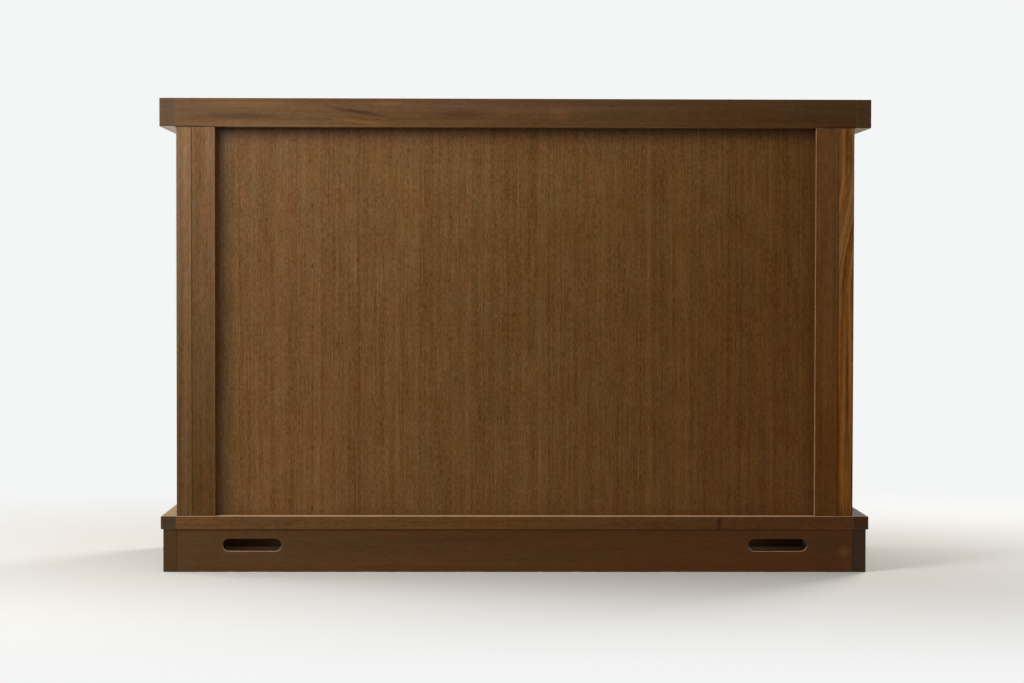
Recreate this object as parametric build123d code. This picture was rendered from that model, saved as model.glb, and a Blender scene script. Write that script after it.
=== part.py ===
from build123d import *
import os

# A low cupboard with two sliding lattice doors, standing on a separate plinth.
# Row frame in millimetres: X to the right as seen from the doors, Y to the back, Z up.
# The origin is the centre of the footprint, on the floor.

# Whole cupboard
width = 1290.0
depth = 450.0
height = 860.0

# Fits shared by the joints
joint_clearance = 0.2
mortise_end_gap = 1.0
joint_arris = 0.5
cut_overrun = 2.0

# Top: a board let into a deep edging
top_height = 52.0
top_edge_width = 28.0
top_overhang = 30.0
top_rear_lip = 2.0
top_panel_thickness = 20.0
top_tongue_thickness = 8.0
top_tongue_length = 9.0
top_tongue_drop = 6.0
top_batten_width = 28.0
top_batten_count = 4
top_arris = 1.6

# Ledge: the flat frame that the body stands on
ledge_height = 24.0
ledge_reveal = 1.0
ledge_edge_width = 28.0
ledge_tongue_thickness = 8.0
ledge_tongue_length = 9.0
ledge_arris = 1.6

# Plinth: boards on edge under the ledge
plinth_height = 78.0
plinth_setback = 4.0
plinth_rear_setback = 3.0
plinth_board = 25.0
plinth_corner_round = 3.0
plinth_foot_arris = 1.0
plinth_tongue_thickness = 9.0
plinth_tongue_length = 8.0
plinth_bearer_width = 25.0
plinth_bearer_lift = 18.0
plinth_block_side = 36.0
plinth_block_lift = 6.0
plinth_block_chamfer = 10.0

# Hand slots in the rear plinth board
slot_length = 106.0
slot_height = 22.0
slot_inset = 161.5
slot_centre_height = 49.5
slot_arris = 1.5

# Posts and side frames
post_width = 28.0
post_arris = 1.2
side_rail_height = 50.0
side_tenon_thickness = 8.0
side_tenon_length = 18.0
side_tenon_shoulder = 8.0
side_tenon_face_inset = 4.0
tenon_web = 2.0
side_panel_thickness = 6.0
side_panel_setback = 8.0
side_panel_groove = 8.0
side_panel_end_gap = 1.5

# Back
back_stile_width = 42.0
back_stile_thickness = 20.0
back_stile_arris = 1.2
back_panel_thickness = 5.0
back_panel_edge_gap = 1.0
back_rail_thickness = 20.0
back_rail_height = 60.0
back_tenon_thickness = 8.0
back_tenon_shoulder = 10.0

# Brads that hold the back panel to the partition
brad_count = 6
brad_first_height = 12.0
brad_last_drop = 141.0
brad_shank_radius = 0.7
brad_head_radius = 1.2
brad_head_thickness = 0.6
brad_head_stand = 0.2
brad_length = 22.0

# Head rail, threshold and their door tracks
front_rail_setback = 2.0
front_rail_face_margin = 6.0
front_rail_inner_margin = 7.0
head_rail_height = 36.0
threshold_height = 30.0
front_rail_arris = 1.0
front_tenon_height = 16.0
front_tenon_lift = 6.0
front_tenon_side_inset = 8.0
track_gap = 5.0
head_groove_spare = 3.0
threshold_groove_depth = 3.0
track_side_clearance = 0.5

# Inside the cupboard
bottom_board_thickness = 12.0
bottom_board_tongue = 8.0
ceiling_board_thickness = 6.0
ceiling_board_drop = 12.0
ceiling_board_tongue = 8.0
board_end_gap = 0.5
partition_x = 370.0
partition_thickness = 18.0
shelf_thickness = 15.0
shelf_share = 0.47
shelf_front_setback = 18.0
shelf_gap = 1.0
shelf_front_arris = 1.5
cleat_width = 18.0
cleat_height = 24.0

# Sliding lattice doors
door_thickness = 20.0
door_meeting_overlap = 30.0
door_post_clearance = 0.5
door_foot_clearance = 0.3
door_shoulder_gap = 1.0
door_lift_gap = 4.0
door_head_engagement = 5.0
door_tongue_thickness = 8.0
door_stile_width = 30.0
door_head_rail_height = 34.0
door_foot_rail_height = 46.0
door_frame_arris = 1.0
door_tenon_thickness = 7.0
door_tenon_face_inset = 3.0
door_tenon_length = 18.0
door_tenon_shoulder = 6.0

# Lattice in each door
bar_count = 20
bar_width = 9.0
bar_depth = 10.0
bar_setback = 2.0
bar_arris = 0.8
bar_tenon_length = 6.0
cross_bar_count = 3
cross_bar_height = 8.0
cross_bar_depth = 5.0

# Glass and its beads
glass_thickness = 3.0
glass_rebate_width = 6.0
glass_edge_gap = 0.8

# Finger pulls let into the outer door stiles
pull_plate_width = 18.0
pull_plate_height = 74.0
pull_plate_thickness = 0.9
pull_cup_width = 12.0
pull_cup_height = 62.0
pull_cup_depth = 7.5
pull_cup_wall = 0.8
pull_corner_round = 4.0

# Places worked out from the sizes
half_width = width / 2
front = -depth / 2
rear = depth / 2
base_top = plinth_height + ledge_height
body_top = height - top_height
body_half = half_width - top_overhang
body_front = front + top_overhang
body_rear = rear - top_rear_lip
post_inner = body_half - post_width
post_tenon_length = post_width - side_tenon_face_inset - side_tenon_thickness - tenon_web

back_panel_rear = body_rear - back_stile_thickness
back_panel_front = back_panel_rear - back_panel_thickness
back_rail_front = back_panel_front - back_rail_thickness
rear_post_front = back_rail_front
brad_first = base_top + brad_first_height
brad_pitch = (body_top - brad_last_drop - brad_first) / (brad_count - 1)

front_rail_front = body_front + front_rail_setback
front_door_front = front_rail_front + front_rail_face_margin
rear_door_front = front_door_front + door_thickness + track_gap
front_rail_rear = rear_door_front + door_thickness + front_rail_inner_margin
front_post_rear = front_rail_rear

threshold_top = base_top + threshold_height
head_rail_bottom = body_top - head_rail_height
ceiling_bottom = body_top - ceiling_board_drop - ceiling_board_thickness
bottom_board_bottom = threshold_top - bottom_board_thickness

side_panel_outer = body_half - side_panel_setback
side_panel_inner = side_panel_outer - side_panel_thickness

partition_left = partition_x - partition_thickness / 2
partition_right = partition_x + partition_thickness / 2
shelf_bottom = threshold_top + (ceiling_bottom - threshold_top) * shelf_share

door_width = post_inner - door_post_clearance + door_meeting_overlap / 2
door_travel = 2 * (post_inner - door_post_clearance) - door_width
door_head_tongue_length = door_lift_gap + door_head_engagement
head_groove_depth = door_head_tongue_length + head_groove_spare
door_bottom = threshold_top + door_shoulder_gap
door_top = head_rail_bottom - door_lift_gap
door_foot = threshold_top - threshold_groove_depth + door_foot_clearance
door_tongue_inset = (door_thickness - door_tongue_thickness) / 2
door_rebate_inset = bar_setback + bar_depth
door_tenon_rear_inset = door_tenon_face_inset + door_tenon_thickness

plinth_half = half_width - ledge_reveal - plinth_setback
plinth_front = front + plinth_setback
plinth_rear = rear - plinth_rear_setback
ledge_half = half_width - ledge_reveal


def block(xs, ys, zs):
    """A box between two places on each axis."""
    size = (xs[1] - xs[0], ys[1] - ys[0], zs[1] - zs[0])
    middle = ((xs[0] + xs[1]) / 2, (ys[0] + ys[1]) / 2, (zs[0] + zs[1]) / 2)
    return Pos(*middle) * Box(*size)


def grown(span, margin):
    """A span made longer by a margin at both ends."""
    return (span[0] - margin, span[1] + margin)


def eased(shape, axis, radius):
    """The shape with its edges along one axis rounded."""
    return fillet(shape.edges().filter_by(axis), radius)


def eased_all(shape, radius):
    """The shape with every edge rounded."""
    return fillet(shape.edges(), radius)


def eased_corner(shape, side, radius, other_radius):
    """An upright with its rear corner rounded on one side, and less on the other."""
    rear_pair = shape.edges().filter_by(Axis.Z).sort_by(Axis.Y)[-2:].sort_by(Axis.X)
    chosen, other = (rear_pair[1], rear_pair[0]) if side > 0 else (rear_pair[0], rear_pair[1])
    shape = fillet(other, other_radius)
    again = shape.edges().filter_by(Axis.Z).sort_by(lambda edge: (edge.center() - chosen.center()).length)
    return fillet(again[0], radius)


def prism(points, zs):
    """An outline of corners in X and Y, raised between two heights."""
    return Pos(0, 0, zs[0]) * extrude(Polygon(*points, align=None), amount=zs[1] - zs[0], dir=(0, 0, 1))


def plate(outline, ys):
    """An outline drawn in X and Z, made a plate between two places in Y."""
    return Pos(0, ys[1], 0) * extrude(Plane.XZ * outline, amount=ys[1] - ys[0])


def mirrored(shape):
    """The other side's copy of a piece."""
    return mirror(shape, Plane.YZ)


def save(name, *solids):
    """Writes one node, alone or as a group of like solids."""
    shape = solids[0] if len(solids) == 1 else Compound(children=list(solids))
    export_step(shape, f"parts/{name}.step")


# Edging shared by the top and the ledge


def edging(half, strip, zs, arris):
    """Four edging strips cut from one eased slab: the side strips run through to the
    rear, where their end grain shows, and meet the front strip in mitres."""
    slab = eased_all(block((-half, half), (front, rear), zs), arris)
    inner = half - strip
    tall = grown(zs, cut_overrun)
    out = half + cut_overrun
    depth_out = rear + cut_overrun

    near = front - cut_overrun
    mitre = front + strip
    right = prism([(inner, mitre), (out, near), (out, depth_out), (inner, depth_out)], tall)
    front_zone = prism([(-out, near), (out, near), (inner, mitre), (-inner, mitre)], tall)
    rear_zone = block((-inner, inner), (rear - strip, depth_out), tall)
    return {
        "front": slab & front_zone,
        "rear": slab & rear_zone,
        "left": slab & mirrored(right),
        "right": slab & right,
    }


def framed_board(half, strip, zs, tongue_zs, tongue_length):
    """A board between edging strips, with a tongue all round."""
    inner = half - strip
    ys = (front + strip, rear - strip)
    board = block((-inner, inner), ys, zs)
    return board + block(grown((-inner, inner), tongue_length), grown(ys, tongue_length), tongue_zs)


def tongue_groove(half, strip, tongue_zs, tongue_length):
    """The space that a board's tongue takes up in its edging."""
    inner = half - strip
    reach = tongue_length + joint_clearance
    ys = (front + strip, rear - strip)
    return block(grown((-inner, inner), reach), grown(ys, reach), grown(tongue_zs, joint_clearance))


# Top


def make_top():
    zs = (body_top, height)
    tongue_top = height - top_tongue_drop
    tongue_zs = (tongue_top - top_tongue_thickness, tongue_top)
    panel_zs = (height - top_panel_thickness, height)
    groove = tongue_groove(half_width, top_edge_width, tongue_zs, top_tongue_length)
    for side, strip in edging(half_width, top_edge_width, zs, top_arris).items():
        save(f"top_edge_{side}", strip - groove)
    save(
        "top_panel",
        framed_board(half_width, top_edge_width, panel_zs, tongue_zs, top_tongue_length),
    )

    batten_ys = (front + top_edge_width, rear - top_edge_width)
    batten_zs = (body_top, height - top_panel_thickness)
    outermost = half_width - top_edge_width - top_batten_width / 2
    spacing = 2 * outermost / (top_batten_count - 1)
    battens = []
    for index in range(top_batten_count):
        middle = -outermost + index * spacing
        battens.append(block(grown((middle, middle), top_batten_width / 2), batten_ys, batten_zs))
    save("top_battens", *battens)


# Ledge


def make_ledge():
    zs = (plinth_height, base_top)
    middle = (plinth_height + base_top) / 2
    tongue_zs = grown((middle, middle), ledge_tongue_thickness / 2)
    groove = tongue_groove(ledge_half, ledge_edge_width, tongue_zs, ledge_tongue_length)
    for side, strip in edging(ledge_half, ledge_edge_width, zs, ledge_arris).items():
        save(f"ledge_edge_{side}", strip - groove)
    save(
        "ledge_panel",
        framed_board(ledge_half, ledge_edge_width, zs, tongue_zs, ledge_tongue_length),
    )


# Plinth


def hand_slots(ys):
    """The two round-ended slots that fingers go through."""
    outline = SlotOverall(slot_length, slot_height)
    away = plinth_half - slot_inset
    return [plate(Pos(x, slot_centre_height) * outline, ys) for x in (-away, away)]


def make_plinth():
    zs = (0, plinth_height)
    slab = block((-plinth_half, plinth_half), (plinth_front, plinth_rear), zs)
    slab = eased(slab, Axis.Z, plinth_corner_round)
    slab = fillet(slab.faces().sort_by(Axis.Z)[0].edges(), plinth_foot_arris)
    tall = grown(zs, cut_overrun)
    inner = plinth_half - plinth_board
    out = plinth_half + cut_overrun
    front_inner = plinth_front + plinth_board
    rear_inner = plinth_rear - plinth_board
    front_out = plinth_front - cut_overrun
    rear_out = plinth_rear + cut_overrun

    tongue_ys = (rear_inner, rear_inner + plinth_tongue_thickness)
    reach = inner + plinth_tongue_length
    housing_ys = grown(tongue_ys, joint_clearance)
    housing_reach = reach + joint_clearance
    housing = block((-housing_reach, housing_reach), housing_ys, tall)

    right_zone = prism([(inner, front_inner), (out, front_out), (out, rear_out), (inner, rear_out)], tall)
    right = (slab & right_zone) - housing
    save("plinth_right", right)
    save("plinth_left", mirrored(right))

    front_zone = prism(
        [(-out, front_out), (out, front_out), (inner, front_inner), (-inner, front_inner)], tall
    )
    save("plinth_front", slab & front_zone)

    board = slab & block((-inner, inner), (rear_inner, rear_out), tall)
    board = board + block((-reach, reach), tongue_ys, zs)
    for slot in hand_slots((rear_inner - cut_overrun, rear_out)):
        board = board - slot
    lip = board.edges().filter_by(slot_edge)
    save("plinth_rear", fillet(lip, slot_arris))

    bearer_xs = grown((0, 0), plinth_bearer_width / 2)
    save("plinth_bearer", block(bearer_xs, (front_inner, rear_inner), (plinth_bearer_lift, plinth_height)))

    blocks = []
    for side in (-1, 1):
        for near, away in ((front_inner, 1), (rear_inner, -1)):
            corner = (side * inner, near)
            blocks.append(corner_block(corner, (-side, away)))
    save("plinth_corner_blocks", *blocks)


def slot_edge(edge):
    """True for the edges round a hand slot on the rear face."""
    middle = edge.center()
    on_face = abs(middle.Y - plinth_rear) < joint_clearance
    beside = abs(abs(middle.X) - (plinth_half - slot_inset)) < slot_length
    level = abs(middle.Z - slot_centre_height) < slot_height / 2 + joint_clearance
    return on_face and beside and level


def corner_block(corner, inward):
    """A glued block in an inside corner, its free arris cut back."""
    x, y = corner
    side_x = x + inward[0] * plinth_block_side
    side_y = y + inward[1] * plinth_block_side
    points = [
        (x, y),
        (side_x, y),
        (side_x, side_y - inward[1] * plinth_block_chamfer),
        (side_x - inward[0] * plinth_block_chamfer, side_y),
        (x, side_y),
    ]
    return prism(points, (plinth_block_lift, plinth_height))


# Side frames


def side_rail_spans():
    """The heights of the upper and lower side rails."""
    return {
        "top": (body_top - side_rail_height, body_top),
        "bottom": (base_top, base_top + side_rail_height),
    }


def side_tenon(zs, margin):
    """Both tenons of a right side rail, or with a margin their mortises."""
    outer = body_half - side_tenon_face_inset
    xs = grown((outer - side_tenon_thickness, outer), margin)
    end_gap = mortise_end_gap if margin else 0
    ys = grown((front_post_rear, rear_post_front), side_tenon_length + end_gap)
    return block(xs, ys, grown(zs, margin - side_tenon_shoulder))


def side_panel_space(margin):
    """The right side panel in its grooves, or with a margin the grooves themselves."""
    spans = side_rail_spans()
    reach = side_panel_groove - (0 if margin else side_panel_end_gap)
    xs = grown((side_panel_inner, side_panel_outer), margin)
    ys = grown((front_post_rear, rear_post_front), reach)
    zs = grown((spans["bottom"][1], spans["top"][0]), reach)
    return block(xs, ys, zs)


def make_sides():
    grooves = side_panel_space(joint_clearance)
    for level, zs in side_rail_spans().items():
        rail = block((post_inner, body_half), (front_post_rear, rear_post_front), zs)
        rail = (rail + side_tenon(zs, 0)) - grooves
        save(f"side_rail_{level}_right", rail)
        save(f"side_rail_{level}_left", mirrored(rail))
    panel = side_panel_space(0)
    save("side_panel_right", panel)
    save("side_panel_left", mirrored(panel))


def side_mortises():
    """What the side rails and the side panel take out of a post."""
    cuts = [side_tenon(zs, joint_clearance) for zs in side_rail_spans().values()]
    return cuts + [side_panel_space(joint_clearance)]


def make_posts():
    zs = (base_top, body_top)
    front_post = block((post_inner, body_half), (body_front, front_post_rear), zs)
    front_post = eased(front_post, Axis.Z, post_arris)
    rear_post = block((post_inner, body_half), (rear_post_front, body_rear), zs)
    rear_post = eased_corner(rear_post, 1, post_arris, joint_arris)
    for cut in side_mortises():
        front_post = front_post - cut
        rear_post = rear_post - cut
    for zs in front_rail_spans().values():
        front_post = front_post - front_tenon(zs, joint_clearance)
    for zs in back_rail_spans().values():
        rear_post = rear_post - back_tenon(zs, joint_clearance)
    save("post_front_right", front_post)
    save("post_front_left", mirrored(front_post))
    save("post_rear_right", rear_post)
    save("post_rear_left", mirrored(rear_post))


# Back


def back_rail_spans():
    """The heights of the inner back rails."""
    return {
        "top": (body_top - back_rail_height, body_top),
        "bottom": (base_top, base_top + back_rail_height),
    }


def back_tenon(zs, margin):
    """The tenons at both ends of a back rail, or with a margin their mortises."""
    middle = (back_rail_front + back_panel_front) / 2
    end_gap = mortise_end_gap if margin else 0
    reach = post_inner + post_tenon_length + end_gap
    ys = grown((middle, middle), back_tenon_thickness / 2 + margin)
    return block((-reach, reach), ys, grown(zs, margin - back_tenon_shoulder))


def make_back():
    for level, zs in back_rail_spans().items():
        rail = block((-post_inner, post_inner), (back_rail_front, back_panel_front), zs)
        rail = rail + back_tenon(zs, 0)
        rail = rail - bottom_board_space(joint_clearance) - ceiling_board_space(joint_clearance)
        save(f"back_rail_{level}", rail)

    edge = post_inner - back_panel_edge_gap
    save("back_panel", block((-edge, edge), (back_panel_front, back_panel_rear), (base_top, body_top)))

    inner = post_inner - back_stile_width
    stile = block((inner, post_inner), (back_panel_rear, body_rear), (base_top, body_top))
    stile = eased_corner(stile, -1, back_stile_arris, joint_arris)
    save("back_stile_right", stile)
    save("back_stile_left", mirrored(stile))

    brads = []
    for index in range(brad_count):
        brads.append(brad(partition_x, brad_first + index * brad_pitch))
    save("back_panel_brads", *brads)


def brad(x, z):
    """A round brad driven through the back panel into the partition's rear edge."""
    head_rear = back_panel_rear + brad_head_stand
    shank_ys = (head_rear - brad_length, head_rear)
    head_ys = (head_rear - brad_head_thickness, head_rear)
    shank = plate(Pos(x, z) * Circle(brad_shank_radius), shank_ys)
    return shank + plate(Pos(x, z) * Circle(brad_head_radius), head_ys)


# Head rail and threshold


def front_rail_spans():
    """The heights of the head rail and the threshold."""
    return {"head_rail": (head_rail_bottom, body_top), "threshold": (base_top, threshold_top)}


def front_tenon(zs, margin):
    """The tenons at both ends of a front rail, clear of its tracks, or their mortises."""
    at_head = zs[1] == body_top
    low = zs[1] - front_tenon_lift - front_tenon_height if at_head else zs[0] + front_tenon_lift
    end_gap = mortise_end_gap if margin else 0
    reach = post_inner + post_tenon_length + end_gap
    ys = (front_rail_front + front_tenon_side_inset, front_rail_rear - front_tenon_side_inset)
    return block((-reach, reach), grown(ys, margin), grown((low, low + front_tenon_height), margin))


def track_ys(door_front):
    """Where a door's tongues run, with their side clearance."""
    tongue = (door_front + door_tongue_inset, door_front + door_thickness - door_tongue_inset)
    return grown(tongue, track_side_clearance)


def make_front_rails():
    grooves = {
        "head_rail": (head_rail_bottom - cut_overrun, head_rail_bottom + head_groove_depth),
        "threshold": (threshold_top - threshold_groove_depth, threshold_top + cut_overrun),
    }
    for name, zs in front_rail_spans().items():
        rail = block((-post_inner, post_inner), (front_rail_front, front_rail_rear), zs)
        rail = fillet(rail.edges().filter_by(Axis.X).sort_by(Axis.Y)[:2], front_rail_arris)
        rail = rail + front_tenon(zs, 0)
        for door_front in (front_door_front, rear_door_front):
            rail = rail - block((-post_inner, post_inner), track_ys(door_front), grooves[name])
        rail = rail - bottom_board_space(joint_clearance) - ceiling_board_space(joint_clearance)
        save(name, rail)


# Inside the cupboard


def bottom_board_space(margin):
    """The bottom board with its long edges in their grooves."""
    tongue = bottom_board_tongue + margin
    ys = grown((front_rail_rear, back_rail_front), tongue)
    xs = grown((-post_inner, post_inner), margin - board_end_gap)
    return block(xs, ys, grown((bottom_board_bottom, threshold_top), margin))


def ceiling_board_space(margin):
    """The thin board that closes the body under the top."""
    tongue = ceiling_board_tongue + margin
    ys = grown((front_rail_rear, back_rail_front), tongue)
    xs = grown((-post_inner, post_inner), margin - board_end_gap)
    return block(xs, ys, grown((ceiling_bottom, ceiling_bottom + ceiling_board_thickness), margin))


def make_inside():
    save("bottom_board", bottom_board_space(0))
    save("ceiling_board", ceiling_board_space(0))

    upright = block(
        (partition_left, partition_right),
        (front_rail_rear, back_panel_front),
        (threshold_top, ceiling_bottom),
    )
    for zs in back_rail_spans().values():
        notch_ys = grown((back_rail_front, back_panel_front), joint_clearance)
        upright = upright - block(
            grown((partition_left, partition_right), cut_overrun),
            (notch_ys[0], notch_ys[1] + cut_overrun),
            grown(zs, joint_clearance),
        )
    save("partition", upright)

    shelf_ys = (front_rail_rear + shelf_front_setback, back_panel_front - shelf_gap)
    shelf_xs = (-post_inner + shelf_gap, partition_left - shelf_gap)
    shelf = block(shelf_xs, shelf_ys, (shelf_bottom, shelf_bottom + shelf_thickness))
    shelf = fillet(shelf.edges().filter_by(Axis.X).sort_by(Axis.Y)[:2], shelf_front_arris)
    save("shelf", shelf)

    cleat_zs = (shelf_bottom - cleat_height, shelf_bottom)
    side_xs = (-side_panel_inner, -post_inner + cleat_width)
    save("shelf_cleat_left", block(side_xs, (front_post_rear, rear_post_front), cleat_zs))
    inner_xs = (partition_left - cleat_width, partition_left)
    inner_ys = (front_rail_rear + shelf_front_setback, back_rail_front)
    save("shelf_cleat_right", block(inner_xs, inner_ys, cleat_zs))


# Doors


class DoorPlace:
    """Where one door stands: its edges, the faces of its frame and its glass rebate."""

    def __init__(self, left, face):
        self.left = left
        self.right = left + door_width
        self.face = face
        self.back = face + door_thickness
        self.rebate = face + door_rebate_inset
        self.inner_xs = (self.left + door_stile_width, self.right - door_stile_width)
        self.inner_zs = (door_bottom + door_foot_rail_height, door_top - door_head_rail_height)
        self.tongue_ys = (face + door_tongue_inset, self.back - door_tongue_inset)
        self.tenon_ys = (face + door_tenon_face_inset, face + door_tenon_rear_inset)
        self.middle = (door_bottom + door_top) / 2


def door_tongues(place, xs):
    """The tongues above and below the frame, between two places in X."""
    head = block(xs, place.tongue_ys, (door_top, door_top + door_head_tongue_length))
    foot = block(xs, place.tongue_ys, (door_foot, door_bottom))
    return head, foot


def glass_rebate(place):
    """The rebate for the glass, cut from the back all round the opening."""
    xs = grown(place.inner_xs, glass_rebate_width)
    zs = grown(place.inner_zs, glass_rebate_width)
    return block(xs, (place.rebate, place.back + cut_overrun), zs)


def bar_places(place):
    """The middles of the upright bars, evenly spaced between the stiles."""
    clear = place.inner_xs[1] - place.inner_xs[0]
    gap = (clear - bar_count * bar_width) / (bar_count + 1)
    first = place.inner_xs[0] + gap + bar_width / 2
    return [first + index * (gap + bar_width) for index in range(bar_count)]


def cross_bar_places(place):
    """The middles of the cross bars, evenly spaced between the rails."""
    low, high = place.inner_zs
    step = (high - low) / (cross_bar_count + 1)
    return [low + step * (index + 1) for index in range(cross_bar_count)]


def bar_ends(place, middle, margin):
    """An upright bar with its stub tenons, or with a margin its mortises."""
    zs = grown(place.inner_zs, bar_tenon_length + margin)
    ys = (place.face + bar_setback - margin, place.rebate)
    return block(grown((middle, middle), bar_width / 2 + margin), ys, zs)


def cross_bar_ends(place, middle, margin):
    """A cross bar with its stub tenons, or with a margin its notches and mortises."""
    xs = grown(place.inner_xs, bar_tenon_length + margin)
    ys = (place.rebate - cross_bar_depth - margin, place.rebate)
    return block(xs, ys, grown((middle, middle), cross_bar_height / 2 + margin))


def door_rail_tenon(place, zs, margin):
    """Both tenons of a door rail, or with a margin their mortises."""
    end_gap = mortise_end_gap if margin else 0
    xs = grown(place.inner_xs, door_tenon_length + end_gap)
    return block(xs, grown(place.tenon_ys, margin), grown(zs, margin - door_tenon_shoulder))


def door_rail_spans():
    """The heights of a door's head and foot rails."""
    return {
        "head_rail": (door_top - door_head_rail_height, door_top),
        "foot_rail": (door_bottom, door_bottom + door_foot_rail_height),
    }


def make_door_frame(name, place, pull_on_left):
    for side, xs in (
        ("left", (place.left, place.inner_xs[0])),
        ("right", (place.inner_xs[1], place.right)),
    ):
        stile = block(xs, (place.face, place.back), (door_bottom, door_top))
        stile = eased(stile, Axis.Z, door_frame_arris)
        for tongue in door_tongues(place, xs):
            stile = stile + tongue
        stile = stile - glass_rebate(place)
        for zs in door_rail_spans().values():
            stile = stile - door_rail_tenon(place, zs, joint_clearance)
        for middle in cross_bar_places(place):
            stile = stile - cross_bar_ends(place, middle, joint_clearance)
        if (side == "left") == pull_on_left:
            stile = stile - pull_recess(place, pull_on_left)
        save(f"{name}_stile_{side}", stile)

    for level, zs in door_rail_spans().items():
        rail = block(place.inner_xs, (place.face, place.back), zs)
        rail = eased(rail, Axis.X, door_frame_arris)
        head, foot = door_tongues(place, place.inner_xs)
        rail = rail + (head if level == "head_rail" else foot)
        rail = rail + door_rail_tenon(place, zs, 0)
        rail = rail - glass_rebate(place)
        for middle in bar_places(place):
            rail = rail - bar_ends(place, middle, joint_clearance)
        save(f"{name}_{level}", rail)


def make_lattice(name, place):
    crossings = [cross_bar_ends(place, z, joint_clearance) for z in cross_bar_places(place)]
    bars = []
    for middle in bar_places(place):
        bar = bar_ends(place, middle, 0)
        face_edges = bar.edges().filter_by(Axis.Z).sort_by(Axis.Y)[:2]
        bar = fillet(face_edges, bar_arris)
        for crossing in crossings:
            bar = bar - crossing
        bars.append(bar)
    save(f"{name}_lattice_bars", *bars)
    save(f"{name}_cross_bars", *[cross_bar_ends(place, z, 0) for z in cross_bar_places(place)])


def make_glass(name, place):
    xs = grown(place.inner_xs, glass_rebate_width)
    zs = grown(place.inner_zs, glass_rebate_width)
    glass_ys = (place.rebate, place.rebate + glass_thickness)
    save(f"{name}_glass", block(grown(xs, -glass_edge_gap), glass_ys, grown(zs, -glass_edge_gap)))

    bead_ys = (place.rebate + glass_thickness, place.back)
    low = (zs[0], place.inner_zs[0])
    high = (place.inner_zs[1], zs[1])
    beads = [block(xs, bead_ys, low), block(xs, bead_ys, high)]
    for bead_xs in ((xs[0], place.inner_xs[0]), (place.inner_xs[1], xs[1])):
        beads.append(block(bead_xs, bead_ys, place.inner_zs))
    save(f"{name}_glass_beads", *beads)


def pull_middle(place, pull_on_left):
    """The middle of the outer stile, where the finger pull is let in."""
    half_stile = door_stile_width / 2
    x = place.left + half_stile if pull_on_left else place.right - half_stile
    return (x, place.middle)


def pull_recess(place, pull_on_left):
    """The mortise that the pull's cup sits in."""
    outline = RectangleRounded(
        pull_cup_width + 2 * joint_clearance,
        pull_cup_height + 2 * joint_clearance,
        pull_corner_round,
    )
    ys = (place.face - cut_overrun, place.face + pull_cup_depth + joint_clearance)
    return plate(Pos(*pull_middle(place, pull_on_left)) * outline, ys)


def make_pull(name, place, pull_on_left):
    where = Pos(*pull_middle(place, pull_on_left))
    face = RectangleRounded(pull_plate_width, pull_plate_height, pull_corner_round)
    cup = RectangleRounded(pull_cup_width, pull_cup_height, pull_corner_round)
    hollow = RectangleRounded(
        pull_cup_width - 2 * pull_cup_wall,
        pull_cup_height - 2 * pull_cup_wall,
        pull_corner_round - pull_cup_wall,
    )
    front_face = place.face - pull_plate_thickness
    cup_back = place.face + pull_cup_depth
    pull = plate(where * face, (front_face, place.face))
    pull = pull + plate(where * cup, (front_face, cup_back))
    pull = pull - plate(where * hollow, (front_face - cut_overrun, cup_back - pull_cup_wall))
    save(f"{name}_finger_pull", pull)


def make_door(name, place, pull_on_left):
    make_door_frame(name, place, pull_on_left)
    make_lattice(name, place)
    make_glass(name, place)
    make_pull(name, place, pull_on_left)


os.makedirs("parts", exist_ok=True)
make_top()
make_ledge()
make_plinth()
make_sides()
make_posts()
make_back()
make_front_rails()
make_inside()
closed_left = -post_inner + door_post_clearance
make_door("left_door", DoorPlace(closed_left, rear_door_front), True)
make_door("right_door", DoorPlace(-closed_left - door_width, front_door_front), False)
print("door travel", door_travel)
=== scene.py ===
import math

import bmesh
import bpy
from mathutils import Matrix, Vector


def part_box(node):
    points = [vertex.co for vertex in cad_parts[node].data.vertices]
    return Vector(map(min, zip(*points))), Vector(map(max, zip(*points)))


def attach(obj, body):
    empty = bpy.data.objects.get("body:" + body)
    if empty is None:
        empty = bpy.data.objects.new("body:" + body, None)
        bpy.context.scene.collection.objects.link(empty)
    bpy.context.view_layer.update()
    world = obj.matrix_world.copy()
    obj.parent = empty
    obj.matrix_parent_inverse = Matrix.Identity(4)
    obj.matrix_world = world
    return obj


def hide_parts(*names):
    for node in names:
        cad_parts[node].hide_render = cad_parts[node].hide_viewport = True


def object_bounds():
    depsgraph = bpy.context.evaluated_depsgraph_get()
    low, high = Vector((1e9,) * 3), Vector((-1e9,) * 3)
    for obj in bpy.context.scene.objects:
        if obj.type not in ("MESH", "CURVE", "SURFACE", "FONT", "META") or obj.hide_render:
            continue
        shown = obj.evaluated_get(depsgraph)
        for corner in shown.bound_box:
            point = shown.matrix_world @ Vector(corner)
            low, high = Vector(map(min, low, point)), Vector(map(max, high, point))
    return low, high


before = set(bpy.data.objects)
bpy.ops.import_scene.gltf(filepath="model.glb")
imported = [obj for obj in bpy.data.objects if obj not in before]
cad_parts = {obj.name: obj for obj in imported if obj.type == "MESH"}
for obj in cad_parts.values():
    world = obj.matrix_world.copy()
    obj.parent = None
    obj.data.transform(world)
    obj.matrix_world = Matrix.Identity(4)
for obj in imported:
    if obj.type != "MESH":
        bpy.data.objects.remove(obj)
cad_box = [list(corner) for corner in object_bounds()]
bpy.ops.object.select_all(action="DESELECT")


# Plinth boards: four boards on edge, of walnut stained dark and rubbed with satin oil.
# The side boards run through to the back, so their end grain shows at the rear corners.
# The front corners are mitred, and two hand slots are routed in the rear board.

MM = 0.001
GRAIN_AXES = {"X": "YZX", "Y": "XZY", "Z": "XYZ"}
ALL_SIDES = ("-X", "+X", "-Y", "+Y", "-Z", "+Z")
FAR_SIDE = 1.0
THROUGH = 1000.0
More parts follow.
